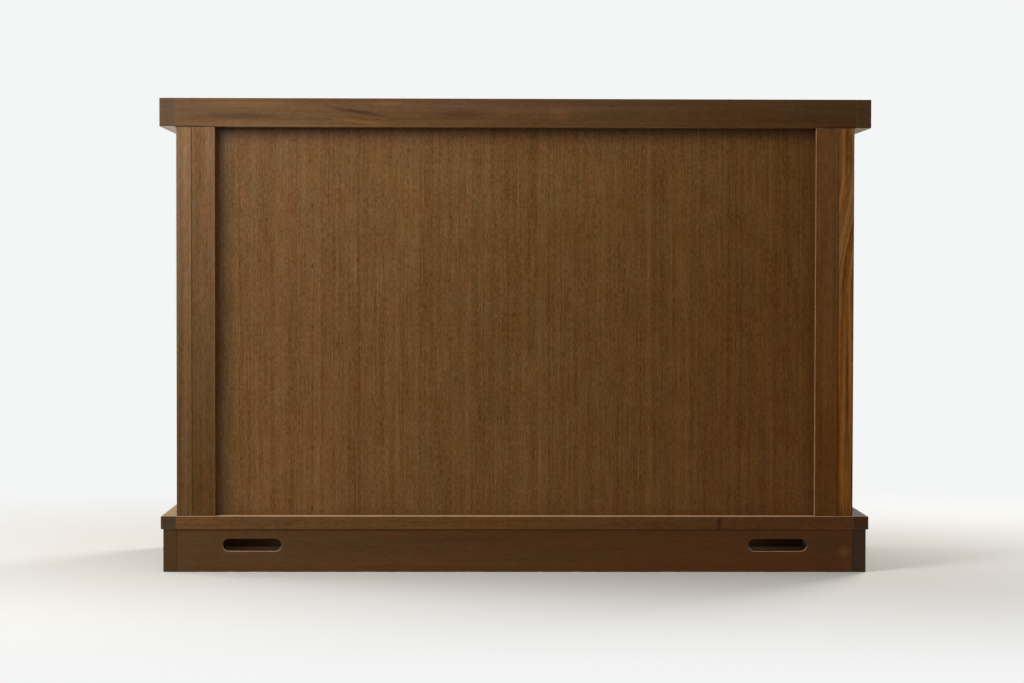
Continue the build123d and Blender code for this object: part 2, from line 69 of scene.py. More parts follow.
# A range node eases its first input from the next two values to the last two, 0 and 1 if not given.
EASED = {"interpolation_type": "SMOOTHSTEP"}


def linear(code):
    """An sRGB hex colour as linear red, green, blue and alpha, by the standard's own curve."""
    shares = [int(code[i : i + 2], 16) / 255 for i in (1, 3, 5)]
    return [s / 12.92 if s <= 0.04045 else ((s + 0.055) / 1.055) ** 2.4 for s in shares] + [1]


def add(tree, kind, inputs=None, **settings):
    """Adds one node with its settings. Each input is a value, or another node's output."""
    node = tree.nodes.new("ShaderNode" + kind)
    for name, value in settings.items():
        setattr(node, name, value)
    for name, value in (inputs or {}).items():
        if isinstance(value, bpy.types.NodeSocket):
            tree.links.new(value, node.inputs[name])
        else:
            node.inputs[name].default_value = value
    return node


def blank(name):
    """A material whose tree is empty, and that tree."""
    made = bpy.data.materials.new(name)
    made.use_nodes = True
    made.node_tree.nodes.clear()
    return made, made.node_tree


def dress(node, made):
    """Gives a CAD piece its finish."""
    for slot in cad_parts[node].material_slots:
        slot.material = made


def grain_place(tree, node, along):
    """Millimetres from the piece's middle, with the grain along the third axis."""
    low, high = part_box(node)
    here = add(tree, "TexCoord").outputs["Object"]
    own = add(tree, "VectorMath", {0: here, 1: (low + high) / 2}, operation="SUBTRACT")
    parts = add(tree, "SeparateXYZ", {0: own.outputs[0]})
    ordered = {i: parts.outputs[axis] for i, axis in enumerate(GRAIN_AXES[along])}
    turned = add(tree, "CombineXYZ", ordered).outputs[0]
    return add(tree, "Mapping", {"Vector": turned, "Scale": (1 / MM,) * 3}).outputs[0]


def streaks(tree, place, size, detail, roughness, seed):
    """Noise from 0 to 1, drawn out along the grain. Size is its broadest feature, in mm across and along."""
    across, along = size
    drawn = {"Vector": place, "Scale": (1 / across, 1 / across, 1 / along), "Location": (seed,) * 3}
    mapped = add(tree, "Mapping", drawn).outputs[0]
    noise = {"Vector": mapped, "Scale": 1.0, "Detail": detail, "Roughness": roughness}
    return add(tree, "TexNoise", noise).outputs[0]


RING_WAVE = (70, 420)


def growth_rings(tree, place, spacing, pith, wander, seed):
    """The tree's yearly rings round a pith that lies off the piece, 1 at the dark late wood."""
    across, along = RING_WAVE
    drawn = {"Vector": place, "Scale": (1 / across, 1 / across, 1 / along), "Location": (seed,) * 3}
    slow = {"Vector": add(tree, "Mapping", drawn).outputs[0], "Scale": 1.0, "Detail": 2.0}
    slow = add(tree, "TexNoise", slow).outputs["Color"]
    offset = add(tree, "Mapping", {"Vector": place, "Location": (-pith[0], -pith[1], 0)}).outputs[0]
    bent = {0: slow, 1: (wander,) * 3, 2: offset}
    bent = add(tree, "VectorMath", bent, operation="MULTIPLY_ADD").outputs[0]
    flat = add(tree, "VectorMath", {0: bent, 1: (1, 1, 0)}, operation="MULTIPLY").outputs[0]
    radius = add(tree, "VectorMath", {0: flat}, operation="LENGTH").outputs["Value"]
    turn = add(tree, "Math", {0: radius, 1: math.tau / spacing}, operation="MULTIPLY").outputs[0]
    wave = add(tree, "Math", {0: turn}, operation="SINE").outputs[0]
    return add(tree, "MapRange", {0: wave, 1: -1.0, 2: 1.0}, **EASED).outputs[0]


def nearest_sides(tree, node, sides):
    """Metres from the nearer side of a squared piece on each axis. A side that isn't named is far away."""
    low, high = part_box(node)
    low = [low[i] if "-" + axis in sides else low[i] - FAR_SIDE for i, axis in enumerate("XYZ")]
    high = [high[i] if "+" + axis in sides else high[i] + FAR_SIDE for i, axis in enumerate("XYZ")]
    here = add(tree, "TexCoord").outputs["Object"]
    from_low = add(tree, "VectorMath", {0: here, 1: low}, operation="SUBTRACT").outputs[0]
    from_high = add(tree, "VectorMath", {0: high, 1: here}, operation="SUBTRACT").outputs[0]
    nearest = add(tree, "VectorMath", {0: from_low, 1: from_high}, operation="MINIMUM").outputs[0]
    return add(tree, "SeparateXYZ", {0: nearest}).outputs


def arris_distance(tree, node, sides):
    """Metres from the nearest edge between two of the named sides: the second least side distance."""
    x, y, z = nearest_sides(tree, node, sides)
    least = add(tree, "Math", {0: x, 1: y}, operation="MINIMUM").outputs[0]
    most = add(tree, "Math", {0: x, 1: y}, operation="MAXIMUM").outputs[0]
    rest = add(tree, "Math", {0: most, 1: z}, operation="MINIMUM").outputs[0]
    return add(tree, "Math", {0: least, 1: rest}, operation="MAXIMUM").outputs[0]


def side_distance(tree, node, sides):
    """Metres from the nearest of the named sides."""
    x, y, z = nearest_sides(tree, node, sides)
    least = add(tree, "Math", {0: x, 1: y}, operation="MINIMUM").outputs[0]
    return add(tree, "Math", {0: least, 1: z}, operation="MINIMUM").outputs[0]


TURNED_AWAY = 0.6
TURNED_TO = 0.9


def facing(tree, side):
    """1 on the faces that look towards a side, 0 elsewhere."""
    normal = add(tree, "SeparateXYZ", {0: add(tree, "TexCoord").outputs["Normal"]}).outputs[side[1]]
    sign = 1.0 if side[0] == "+" else -1.0
    toward = add(tree, "Math", {0: normal, 1: sign}, operation="MULTIPLY").outputs[0]
    return add(tree, "MapRange", {0: toward, 1: TURNED_AWAY, 2: TURNED_TO}, **EASED).outputs[0]


def weighed(tree, patterns):
    """What a colour is multiplied by: one, plus each pattern's swing about its middle times its weight."""
    total = 1 - sum(weight for _, weight in patterns) / 2
    for pattern, weight in patterns:
        total = add(tree, "Math", {0: pattern, 1: weight, 2: total}, operation="MULTIPLY_ADD").outputs[0]
    return total


SWING_SHARES = (0.75, 1.0, 1.9)
SWING_RESTS = (0.25, 0.0, -0.9)


def swung(tree, base, swing):
    """A colour made lighter or darker by a swing: the light parts greyer, the dark parts redder."""
    casts = {0: swing, 1: SWING_SHARES, 2: SWING_RESTS}
    casts = add(tree, "VectorMath", casts, operation="MULTIPLY_ADD").outputs[0]
    return add(tree, "VectorMath", {0: base, 1: casts}, operation="MULTIPLY").outputs[0]


def tinted(tree, colour, pattern, limits, cool, warm):
    """A colour that takes a cool cast where a pattern is low and a warm one where it's high."""
    share = add(tree, "MapRange", {0: pattern, 1: limits[0], 2: limits[1]}, **EASED).outputs[0]
    cast = add(tree, "Mix", {0: share, 6: cool + (1,), 7: warm + (1,)}, data_type="RGBA").outputs[2]
    return add(tree, "VectorMath", {0: colour, 1: cast}, operation="MULTIPLY").outputs[0]


def drift_colour(tree, node, axis, tones):
    """The piece's colour, which drifts from one tone to another along an axis."""
    low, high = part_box(node)
    axis = "XYZ".index(axis)
    here = add(tree, "SeparateXYZ", {0: add(tree, "TexCoord").outputs["Object"]}).outputs[axis]
    run = add(tree, "MapRange", {0: here, 1: low[axis], 2: high[axis]}).outputs[0]
    ends = {0: run, 6: linear(tones[0]), 7: linear(tones[1])}
    return add(tree, "Mix", ends, data_type="RGBA").outputs[2]


MARK_CORE = 0.15


def soft_mark(tree, place, cross, middle, reach, turn):
    """A soft-edged oval, 1 at its middle. Its middle and reach are in mm, across and along the grain."""
    centre = [0, 0, middle[1]]
    centre[cross] = middle[0]
    size = [THROUGH, THROUGH, reach[1]]
    size[cross] = reach[0]
    turned = [0, 0, 0]
    turned[1 - cross] = math.radians(turn)
    oval = {"Vector": place, "Location": centre, "Scale": size, "Rotation": turned}
    inside = add(tree, "Mapping", oval, vector_type="TEXTURE").outputs[0]
    away = add(tree, "VectorMath", {0: inside}, operation="LENGTH").outputs["Value"]
    return add(tree, "MapRange", {0: away, 1: MARK_CORE, 2: 1.0, 3: 1.0, 4: 0.0}, **EASED).outputs[0]


def marked(tree, colour, place, along, marks):
    """A wood's colour with its knots, stripes, patches and broad washes, and on some pieces the shade,
    shadow, highlight and sheen painted into it.

    Each is an oval: its middle and its reach in mm across and along the grain, its turn in degrees,
    and what it adds to red, green and blue at its middle, as shares of the colour there.
    """
    cross = 1 if along == "X" else 0
    for middle, reach, turn, tint in marks:
        oval = soft_mark(tree, place, cross, middle, reach, turn)
        touch = {0: oval, 1: tint, 2: (1, 1, 1)}
        touch = add(tree, "VectorMath", touch, operation="MULTIPLY_ADD").outputs[0]
        colour = add(tree, "VectorMath", {0: colour, 1: touch}, operation="MULTIPLY").outputs[0]
    return colour


OIL_GLOSS = 0.18


def finish_wood(tree, colour, height, roughness, shine, bump_mm, coat=0.0):
    """Joins a wood's colour, roughness and relief to its shader and its output."""
    relief = {"Strength": 1.0, "Distance": bump_mm * MM, "Height": height}
    surface = {
        "Base Color": colour,
        "Roughness": roughness,
        "Specular IOR Level": shine,
        "Coat Weight": coat,
        "Coat Roughness": OIL_GLOSS,
        "Normal": add(tree, "Bump", relief).outputs[0],
    }
    shader = add(tree, "BsdfPrincipled", surface)
    add(tree, "OutputMaterial", {"Surface": shader.outputs[0]})


# Walnut's pores are about 0.2 mm wide, too fine to show, so its finest pattern is drawn 3 mm wide.
# A pattern's size is in mm across and along the grain, and wear and seams are in mm from an edge.
STREAK_LENGTH = 1400
LINE_LENGTH = 600
FIBRE = (3, 12)
MOTTLE = (26, 110)
HUE_CLOUD = (22, 320)
PORE_GROUP = (8, 90)
END_CUT = (7, THROUGH)
WORN_RAG = (20, 26)
WORN_LEAST = 0.4
WORN_MOST = 2.4
SEAM_CORE = 0.2
SEAM_REACH = 1.6
WALNUT_ROUGHNESS = 0.42
WALNUT_SHINE = 0.1
GRAIN_RELIEF = 0.1


def stained_walnut(
    node,
    along,
    tones,
    drift="X",
    seed=0,
    streak=1.0,
    width=60,
    lined=0.5,
    line=7.0,
    fibre=0.9,
    ring=9.0,
    ring_weight=0.04,
    pith=(20, 60),
    wander=34.0,
    sweep=None,
    marks=(),
    end_tone="#2e2013",
    bare=(),
    joined=(),
    seam_tone=0.42,
    rubbed_and_lit=(),
    wear=0.25,
    worn_and_lit_tone="#8a6a4a",
    rim=None,
    coat=0.1,
):
    """Finishes a piece in walnut, planed, stained and oiled.

    To the eye: long soft streaks of light and dark, fine lines, dull ends and arrises worn paler.
    Streak, lined, fibre and ring_weight are how strong those patterns are, and width, line and ring
    how wide. Sweep bends the grain aside, from a height, over a length, by a shift. Bare gives the faces
    towards a side a flat paler tone, from a side as far in as its reach; the pieces here use it for dust
    and for painted sheen, reflection and light. Joined sides have a dark seam. Rubbed_and_lit edges are
    each given by their two sides, with the width of the pale line and its strength: wear on some pieces,
    a painted highlight on others. Rim adds a painted highlight in the same pale tone.
    """
    made, tree = blank("walnut_stained_" + node)
    place = grain_place(tree, node, along)
    if sweep:
        start, length, shift = sweep
        height = add(tree, "SeparateXYZ", {0: place}).outputs[2]
        bend = {0: height, 1: start, 2: start + length, 3: 0.0, 4: shift}
        bend = add(tree, "MapRange", bend, **EASED).outputs[0]
        aside = add(tree, "CombineXYZ", {0: bend}).outputs[0]
        place = add(tree, "VectorMath", {0: place, 1: aside}, operation="ADD").outputs[0]
    rings = growth_rings(tree, place, ring, pith, wander, seed)
    long = streaks(tree, place, (width, STREAK_LENGTH), 2.5, 1.0, seed + 3)
    lines = streaks(tree, place, (line, LINE_LENGTH), 1.0, 1.0, seed + 11)
    fine = streaks(tree, place, FIBRE, 1.0, 1.0, seed + 17)
    mottle = streaks(tree, place, MOTTLE, 2.0, 1.0, seed + 23)
    patterns = [(long, streak), (lines, lined), (fine, fibre), (mottle, 0.3), (rings, -ring_weight)]
    swing = weighed(tree, patterns)
    figured = swung(tree, drift_colour(tree, node, drift, tones), swing)
    hue = streaks(tree, place, HUE_CLOUD, 2.0, 0.6, seed + 41)
    figured = tinted(tree, figured, hue, (0.34, 0.66), (0.97, 1.01, 1.06), (1.03, 0.98, 0.92))
    pores = streaks(tree, place, PORE_GROUP, 2.0, 1.0, seed + 47)
    figured = tinted(tree, figured, pores, (0.4, 0.6), (0.985, 1.015, 1.1), (1.015, 0.985, 0.9))
    figured = marked(tree, figured, place, along, marks)

    cut = streaks(tree, place, END_CUT, 3.0, 0.7, seed + 5)
    end_figure = weighed(tree, [(rings, -0.08), (cut, 0.5)])
    end_colour = {0: linear(end_tone)[:3], "Scale": end_figure}
    end_colour = add(tree, "VectorMath", end_colour, operation="SCALE").outputs[0]
    for sign in "-+":
        end = {0: facing(tree, sign + along), 6: figured, 7: end_colour}
        figured = add(tree, "Mix", end, data_type="RGBA").outputs[2]
    # Bare sides: a flat paler tone on chosen faces, here dust and painted sheen, reflection and light.
    for side, tone, from_side, reach in bare:
        pale_side_tone = add(tree, "VectorMath", {0: linear(tone)[:3], "Scale": swing}, operation="SCALE").outputs[0]
        away = side_distance(tree, node, (from_side,))
        deep = {0: away, 1: 0.6 * reach * MM, 2: reach * MM, 3: 1.0, 4: 0.0}
        deep = add(tree, "MapRange", deep, **EASED).outputs[0]
        shown = add(tree, "Math", {0: facing(tree, side), 1: deep}, operation="MULTIPLY").outputs[0]
        figured = add(tree, "Mix", {0: shown, 6: figured, 7: pale_side_tone}, data_type="RGBA").outputs[2]
    if joined:
        away = side_distance(tree, node, joined)
        seam = {0: away, 1: SEAM_CORE * MM, 2: SEAM_REACH * MM, 3: seam_tone, 4: 1.0}
        seam = add(tree, "MapRange", seam, **EASED).outputs[0]
        figured = add(tree, "VectorMath", {0: figured, "Scale": seam}, operation="SCALE").outputs[0]

    ragged = streaks(tree, place, WORN_RAG, 3.0, 0.6, seed + 53)
    reach = {0: ragged, 1: 0.36, 2: 0.72, 3: WORN_LEAST * MM, 4: WORN_MOST * MM}
    reach = add(tree, "MapRange", reach, **EASED).outputs[0]
    away = arris_distance(tree, node, [side for side in ALL_SIDES if side not in joined])
    pale = add(tree, "Math", {0: away, 1: reach}, operation="DIVIDE").outputs[0]
    pale = add(tree, "MapRange", {0: pale, 1: 0.2, 2: 1.1, 3: wear, 4: 0.0}, **EASED).outputs[0]
    # Pale lines along chosen edges: wear on some pieces, a painted highlight on others.
    for edge, reach, strength in rubbed_and_lit:
        away = arris_distance(tree, node, edge)
        near = {0: away, 1: 0.3 * reach * MM, 2: reach * MM, 3: strength, 4: 0.0}
        near = add(tree, "MapRange", near, **EASED).outputs[0]
        pale = add(tree, "Math", {0: pale, 1: near}, operation="MAXIMUM").outputs[0]
    # The rim mask is a painted highlight.
    if rim:
        pale = add(tree, "Math", {0: pale, 1: rim(tree)}, operation="MAXIMUM").outputs[0]
    colour = add(tree, "Mix", {0: pale, 6: figured, 7: linear(worn_and_lit_tone)}, data_type="RGBA").outputs[2]

    height = weighed(tree, [(fine, 0.6), (lines, 0.6)])
    dull = {0: long, 1: 0.35, 2: 0.65, 3: WALNUT_ROUGHNESS - 0.05, 4: WALNUT_ROUGHNESS + 0.06}
    dull = add(tree, "MapRange", dull, **EASED).outputs[0]
    finish_wood(tree, colour, height, dull, WALNUT_SHINE, GRAIN_RELIEF, coat)
    dress(node, made)


SLOT_FROM_MIDDLE = 478.5
SLOT_HALF_LENGTH = 53.0
SLOT_HALF_HEIGHT = 11.0
SLOT_MIDDLE_HEIGHT = 49.5
SLOT_LIP = 1.5


def slot_lip_highlight(tree):
    """The lip of the hand slots, with a painted highlight along its lower edge and round its ends, on its
    faces towards the back.
    """
    here = add(tree, "SeparateXYZ", {0: add(tree, "TexCoord").outputs["Object"]}).outputs
    aside = add(tree, "Math", {0: here["X"]}, operation="ABSOLUTE").outputs[0]
    aside = add(tree, "Math", {0: aside, 1: SLOT_FROM_MIDDLE * MM}, operation="SUBTRACT").outputs[0]
    aside = add(tree, "Math", {0: aside}, operation="ABSOLUTE").outputs[0]
    straight = (SLOT_HALF_LENGTH - SLOT_HALF_HEIGHT) * MM
    aside = add(tree, "Math", {0: aside, 1: straight}, operation="SUBTRACT").outputs[0]
    aside = add(tree, "Math", {0: aside, 1: 0.0}, operation="MAXIMUM").outputs[0]
    up = add(tree, "Math", {0: here["Z"], 1: SLOT_MIDDLE_HEIGHT * MM}, operation="SUBTRACT").outputs[0]
    span = add(tree, "CombineXYZ", {0: aside, 1: up}).outputs[0]
    out = add(tree, "VectorMath", {0: span}, operation="LENGTH").outputs["Value"]
    out = add(tree, "Math", {0: out, 1: SLOT_HALF_HEIGHT * MM}, operation="SUBTRACT").outputs[0]
    lip = add(tree, "MapRange", {0: out, 1: 0.0, 2: SLOT_LIP * MM, 3: 1.0, 4: 0.0}, **EASED).outputs[0]
    low = {0: up, 1: -0.8 * SLOT_HALF_HEIGHT * MM, 2: 0.2 * SLOT_HALF_HEIGHT * MM, 3: 1.0, 4: 0.1}
    low = add(tree, "MapRange", low, **EASED).outputs[0]
    lip = add(tree, "Math", {0: lip, 1: low}, operation="MULTIPLY").outputs[0]
    outward = add(tree, "SeparateXYZ", {0: add(tree, "TexCoord").outputs["Normal"]}).outputs["Y"]
    outward = add(tree, "MapRange", {0: outward, 1: 0.25, 2: 0.75}, **EASED).outputs[0]
    return add(tree, "Math", {0: lip, 1: outward}, operation="MULTIPLY").outputs[0]


stained_walnut(
    "plinth_rear",
    "X",
    ("#553211", "#50371b"),
    seed=900,
    streak=0.5,
    lined=0.22,
    fibre=0.6,
    ring_weight=0.03,
    joined=("-X", "+X", "+Z"),
    seam_tone=0.75,
    # The slot lips carry a painted highlight in the pale tone.
    rim=slot_lip_highlight,
    worn_and_lit_tone="#c8b090",
    marks=[
        # A pale round knot in darker wood, near the left end seen from the doors.
        ((-1, -600), (17, 15), 0, (0.42, 0.72, 0.62)),
        ((0, -585), (50, 90), 0, (-0.10, -0.12, -0.12)),
        ((19, 138), (11, 230), 0, (-0.12, -0.12, -0.10)),
        ((-16, -60), (9, 260), 0, (-0.07, -0.07, -0.05)),
        ((30, 260), (4, 120), 0, (0.16, 0.08, 0.02)),
    ],
)
stained_walnut("plinth_left", "Y", ("#4c300f", "#523617"), end_tone="#3d2a16", joined=("+X",))
stained_walnut("plinth_right", "Y", ("#52370f", "#573a1a"), end_tone="#483219", joined=("-X",))
stained_walnut("plinth_front", "X", ("#523415", "#51391e"), seed=300, streak=0.8, width=36)


# Bearer and corner blocks: rough-sawn pine under the ledge, glued and rubbed in, left bare.
# They carry the ledge board at its middle and hold the plinth's corners square.

# Pine's rings are 2 to 3 mm wide, and are drawn 6 to 8 mm wide so that they show.
PINE_BROAD = (40, 500)
PINE_FIBRE = (6, 60)
PINE_SOIL = (120, 160)
PINE_WANDER = 26.0
PINE_ROUGHNESS = 0.6
PINE_SHINE = 0.3
PINE_RELIEF = 0.15
LATE_WOOD_CAST = (1.04, 0.93, 0.82, 1)


def bare_pine(node, along, tone="#a8825a", pith=(10, 70), ring=6.0, seed=0):
    """Finishes a piece as pine, planed and left bare: pale, with darker late wood, gone warm with age."""
    made, tree = blank("pine_bare_" + node)
    place = grain_place(tree, node, along)
    rings = growth_rings(tree, place, ring, pith, PINE_WANDER, seed)
    late = add(tree, "Math", {0: rings, 1: 3.0}, operation="POWER").outputs[0]
    broad = streaks(tree, place, PINE_BROAD, 2.0, 0.6, seed + 5)
    fibre = streaks(tree, place, PINE_FIBRE, 2.0, 0.9, seed + 13)
    swing = weighed(tree, [(late, -0.28), (broad, 0.35), (fibre, 0.3)])
    colour = add(tree, "VectorMath", {0: linear(tone)[:3], "Scale": swing}, operation="SCALE").outputs[0]
    reddish = add(tree, "Mix", {0: late, 6: (1, 1, 1, 1), 7: LATE_WOOD_CAST}, data_type="RGBA").outputs[2]
    colour = add(tree, "VectorMath", {0: colour, 1: reddish}, operation="MULTIPLY").outputs[0]
    cloud = streaks(tree, place, PINE_SOIL, 3.0, 0.6, seed + 7)
    soil = add(tree, "MapRange", {0: cloud, 1: 0.45, 2: 0.75, 3: 1.0, 4: 0.82}, **EASED).outputs[0]
    colour = add(tree, "VectorMath", {0: colour, "Scale": soil}, operation="SCALE").outputs[0]
    height = weighed(tree, [(fibre, 0.6), (late, 0.4)])
    dull = {0: broad, 1: 0.3, 2: 0.7, 3: PINE_ROUGHNESS - 0.06, 4: PINE_ROUGHNESS + 0.08}
    dull = add(tree, "MapRange", dull, **EASED).outputs[0]
    finish_wood(tree, colour, height, dull, PINE_SHINE, PINE_RELIEF)
    dress(node, made)


bare_pine("plinth_bearer", "Y")
bare_pine("plinth_corner_blocks", "Z", tone="#9c7850", seed=70)


# Ledge: a pine board between four walnut edgings, grooved and tongued together.
# The rear edging carries one dark knot streak near its left end, seen from the doors.
# The rear and side edgings have top faces painted pale with dust and a painted sheen seen at a low
# angle, thin paler lines as seen from the back; the right one is palest, with painted light on the
# daylight's side.

stained_walnut(
    "ledge_edge_rear",
    "X",
    ("#573212", "#654521"),
    seed=1500,
    streak=0.5,
    width=24,
    joined=("-X", "+X"),
    seam_tone=0.75,
    # Its top face: dust and a painted sheen.
    bare=(("+Z", "#d2ac82", "+Z", 4),),
    rubbed_and_lit=((("+Y", "-Z"), 1.0, 0.3),),
    marks=[
        # The knot streak, and the darker grain it runs into.
        ((0, -372), (18, 5.5), -8, (-0.52, -0.56, -0.46)),
        ((4, -360), (3, 34), 0, (-0.10, -0.12, -0.08)),
        ((0, 560), (14, 90), 0, (0.10, 0.02, -0.06)),
        ((0, 500), (60, 190), 0, (-0.10, -0.10, -0.04)),
        ((-8, 60), (3, 300), 0, (0.05, -0.02, -0.08)),
    ],
)
stained_walnut(
    "ledge_edge_left",
    "Y",
    ("#593816", "#593816"),
    end_tone="#412b18",
    # Its top face: dust and a painted sheen, dim on the side away from the daylight.
    bare=(("+Z", "#6e4c1e", "+Z", 4),),
    coat=0,
)
stained_walnut(
    "ledge_edge_right",
    "Y",
    ("#603f1c", "#603f1c"),
    end_tone="#433521",
    # Its top face: dust, a painted sheen and painted light on the daylight's side.
    bare=(("+Z", "#b4945e", "+Z", 4),),
)
stained_walnut("ledge_edge_front", "X", ("#5a3a1b", "#624526"), seed=2100, streak=0.8, width=30)
bare_pine("ledge_panel", "X", tone="#98724a", pith=(0, 90), ring=8)


# Posts: four square walnut uprights, mortised for the rails and tenoned into nothing else.
# The rear ones show beside the back stiles, one pale, the other orange with stripes that lean at the top.

stained_walnut(
    "post_rear_right",
    "Z",
    ("#5e4123", "#785a39"),
    drift="Z",
    seed=60,
    streak=0.6,
    width=30,
    lined=0.7,
    joined=("-X",),
    marks=[
        ((-4, 60), (3.5, 700), 0, (0.12, 0.12, 0.10)),
        ((6, 0), (4, 800), 0, (-0.10, -0.10, -0.06)),
    ],
)
stained_walnut(
    "post_rear_left",
    "Z",
    ("#764813", "#7b5127"),
    drift="Z",
    seed=400,
    streak=1.9,
    width=18,
    lined=2.4,
    line=4.4,
    ring=13,
    ring_weight=0.08,
    pith=(60, 25),
    wander=10,
    sweep=(60, 220, 32),
    joined=("+X",),
    seam_tone=0.8,
    marks=[
        # The leaning stripes of the upper third, where the sweep has moved the grain.
        ((23, 305), (6, 60), 0, (-0.30, -0.28, -0.18)),
        ((34, 235), (7, 75), 0, (0.26, 0.20, 0.08)),
        # A painted highlight: a small bright glint among the stripes.
        ((30.6, 236), (1.8, 16), 0, (0.35, 0.38, 0.40)),
        ((28, 228), (2.4, 52), 0, (-0.34, -0.34, -0.24)),
        ((23, 152), (3.4, 40), 0, (0.28, 0.22, 0.14)),
        ((4, 88), (2, 42), 0, (-0.36, -0.36, -0.24)),
        # The straight stripes below, pale on both sides of a dark one, and painted shade at the foot.
        ((8, -150), (6, 330), 0, (0.26, 0.20, 0.06)),
        ((12.5, -120), (3, 300), 0, (0.30, 0.24, 0.08)),
        ((-9.5, -60), (4, 150), 0, (0.20, 0.20, 0.14)),
        ((-2.6, -120), (3.4, 150), 0, (-0.34, -0.34, -0.24)),
        ((-0.4, -240), (2.4, 70), 0, (-0.26, -0.26, -0.18)),
        ((-12, -290), (4.5, 80), 0, (-0.40, -0.40, -0.30)),
        ((0, -352), (60, 40), 0, (-0.30, -0.30, -0.28)),
    ],
)
for side in ("left", "right"):
    tones = ("#604223", "#6c4e2c")
    stained_walnut("post_front_" + side, "Z", tones, drift="Z", seed=700, width=30, lined=0.7)


# Side frames: on each side an upper and a lower walnut rail are tenoned between the posts.
# A thin panel of veneered plywood stands in grooves ploughed in them.

# Veneer shows the same pores as the solid, so its flecks, dashes and threads are drawn 2.6 mm wide.
RIBBON = (128, 3000)
VENEER_LINE = (8, 1200)
VENEER_MOTTLE = (40, 60)
DASH = (2.6, 70)
FLECK = (2.6, 9)
THREAD = (2.6, 170)
VENEER_HUE = (26, 90)
VENEER_RELIEF = 0.1


def walnut_veneer(node, along, tones, drift="X", seed=0, marks=(), roughness=0.46, shine=0.25, coat=0.05):
    """Finishes a piece in quarter-cut walnut veneer: straight ribbons and lines, short flecks, satin."""
    made, tree = blank("walnut_veneer_" + node)
    place = grain_place(tree, node, along)
    ribbons = streaks(tree, place, RIBBON, 3.0, 1.0, seed)
    lines = streaks(tree, place, VENEER_LINE, 1.0, 1.0, seed + 11)
    mottle = streaks(tree, place, VENEER_MOTTLE, 3.0, 1.0, seed + 23)
    dashes = streaks(tree, place, DASH, 0.0, 0.5, seed + 29)
    flecks = streaks(tree, place, FLECK, 1.0, 1.0, seed + 31)
    threads = streaks(tree, place, THREAD, 0.0, 0.5, seed + 33)
    threads = add(tree, "MapRange", {0: threads, 1: 0.62, 2: 0.74}, **EASED).outputs[0]
    broad = [(ribbons, 0.65), (lines, 0.62), (mottle, 0.55)]
    narrow = [(dashes, 0.45), (flecks, 1.4), (threads, 0.22)]
    swing = weighed(tree, broad + narrow)
    colour = swung(tree, drift_colour(tree, node, drift, tones), swing)
    hue = streaks(tree, place, VENEER_HUE, 2.0, 0.6, seed + 43)
    colour = tinted(tree, colour, hue, (0.36, 0.64), (0.98, 1.015, 1.03), (1.02, 0.98, 0.95))
    pores = streaks(tree, place, PORE_GROUP, 2.0, 1.0, seed + 47)
    colour = tinted(tree, colour, pores, (0.4, 0.6), (0.985, 1.02, 1.12), (1.015, 0.98, 0.88))
    colour = marked(tree, colour, place, along, marks)
    height = weighed(tree, [(flecks, 0.7), (lines, 0.5)])
    dull = {0: mottle, 1: 0.35, 2: 0.65, 3: roughness - 0.05, 4: roughness + 0.08}
    dull = add(tree, "MapRange", dull, **EASED).outputs[0]
    finish_wood(tree, colour, height, dull, shine, VENEER_RELIEF, coat)
    dress(node, made)


for side in ("left", "right"):
    for level in ("top", "bottom"):
        stained_walnut(f"side_rail_{level}_{side}", "Y", ("#5f3f1c", "#674621"), drift="Y", seed=1300)
    walnut_veneer("side_panel_" + side, "Z", ("#6a4519", "#6f4c24"), drift="Y", seed=500)


# Back: a veneered plywood panel let in behind two stiles, with two pine rails inside.
# The panel is one sheet of quarter-cut walnut veneer, satin, paler than the frame. It has painted
# shadow under the top and beside the right stile, and painted sheen and light that make it paler and
# greyer towards the top; iron has stained it brown round each brad.

BRAD_HEAD_RADIUS = 1.2
BRAD_COUNT = 6
STAIN_REACH = (2.8, 7)
STAIN_TINT = (-0.45, -0.48, -0.52)

brads_low, brads_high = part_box("back_panel_brads")
brads_x = (brads_low.x + brads_high.x) / 2
first_z = brads_low.z + BRAD_HEAD_RADIUS * MM
brad_pitch = (brads_high.z - brads_low.z - 2 * BRAD_HEAD_RADIUS * MM) / (BRAD_COUNT - 1)
low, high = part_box("back_panel")
panel_middle = (low + high) / 2
stains = []
for step in range(BRAD_COUNT):
    up = (first_z + step * brad_pitch - panel_middle.z) / MM
    stains.append((((brads_x - panel_middle.x) / MM, up), STAIN_REACH, 0, STAIN_TINT))
walnut_veneer(
    "back_panel",
    "Z",
    ("#653d0e", "#6f4b21"),
    marks=[
        # Painted sheen and light: paler and greyer towards the top, deeper at the lower left.
        ((0, 330), (1100, 380), 0, (0.09, 0.16, 0.30)),
        ((60, -100), (500, 600), 0, (0.03, 0.08, 0.18)),
        ((-160, 330), (520, 200), 0, (0.03, 0.07, 0.26)),
        ((-520, -200), (260, 420), 0, (-0.01, -0.06, -0.36)),
        # Painted shadow: the darker bands under the top and beside the right stile.
        ((0, 351), (5000, 34), 0, (-0.42, -0.42, -0.42)),
        ((529, 0), (21, 5000), 0, (-0.28, -0.28, -0.28)),
        *stains,
    ],
)
stained_walnut(
    "back_stile_right",
    "Z",
    ("#563816", "#735334"),
    drift="Z",
    seed=1800,
    streak=1.1,
    joined=("+X",),
    # A painted highlight along its arris beside the panel.
    rubbed_and_lit=((("-X", "+Y"), 1.2, 0.45),),
    worn_and_lit_tone="#a68462",
    marks=[
        ((2, 60), (8, 500), 0, (0.06, 0.0, -0.04)),
        ((-15, 0), (5, 800), 0, (-0.06, -0.02, 0.02)),
    ],
)
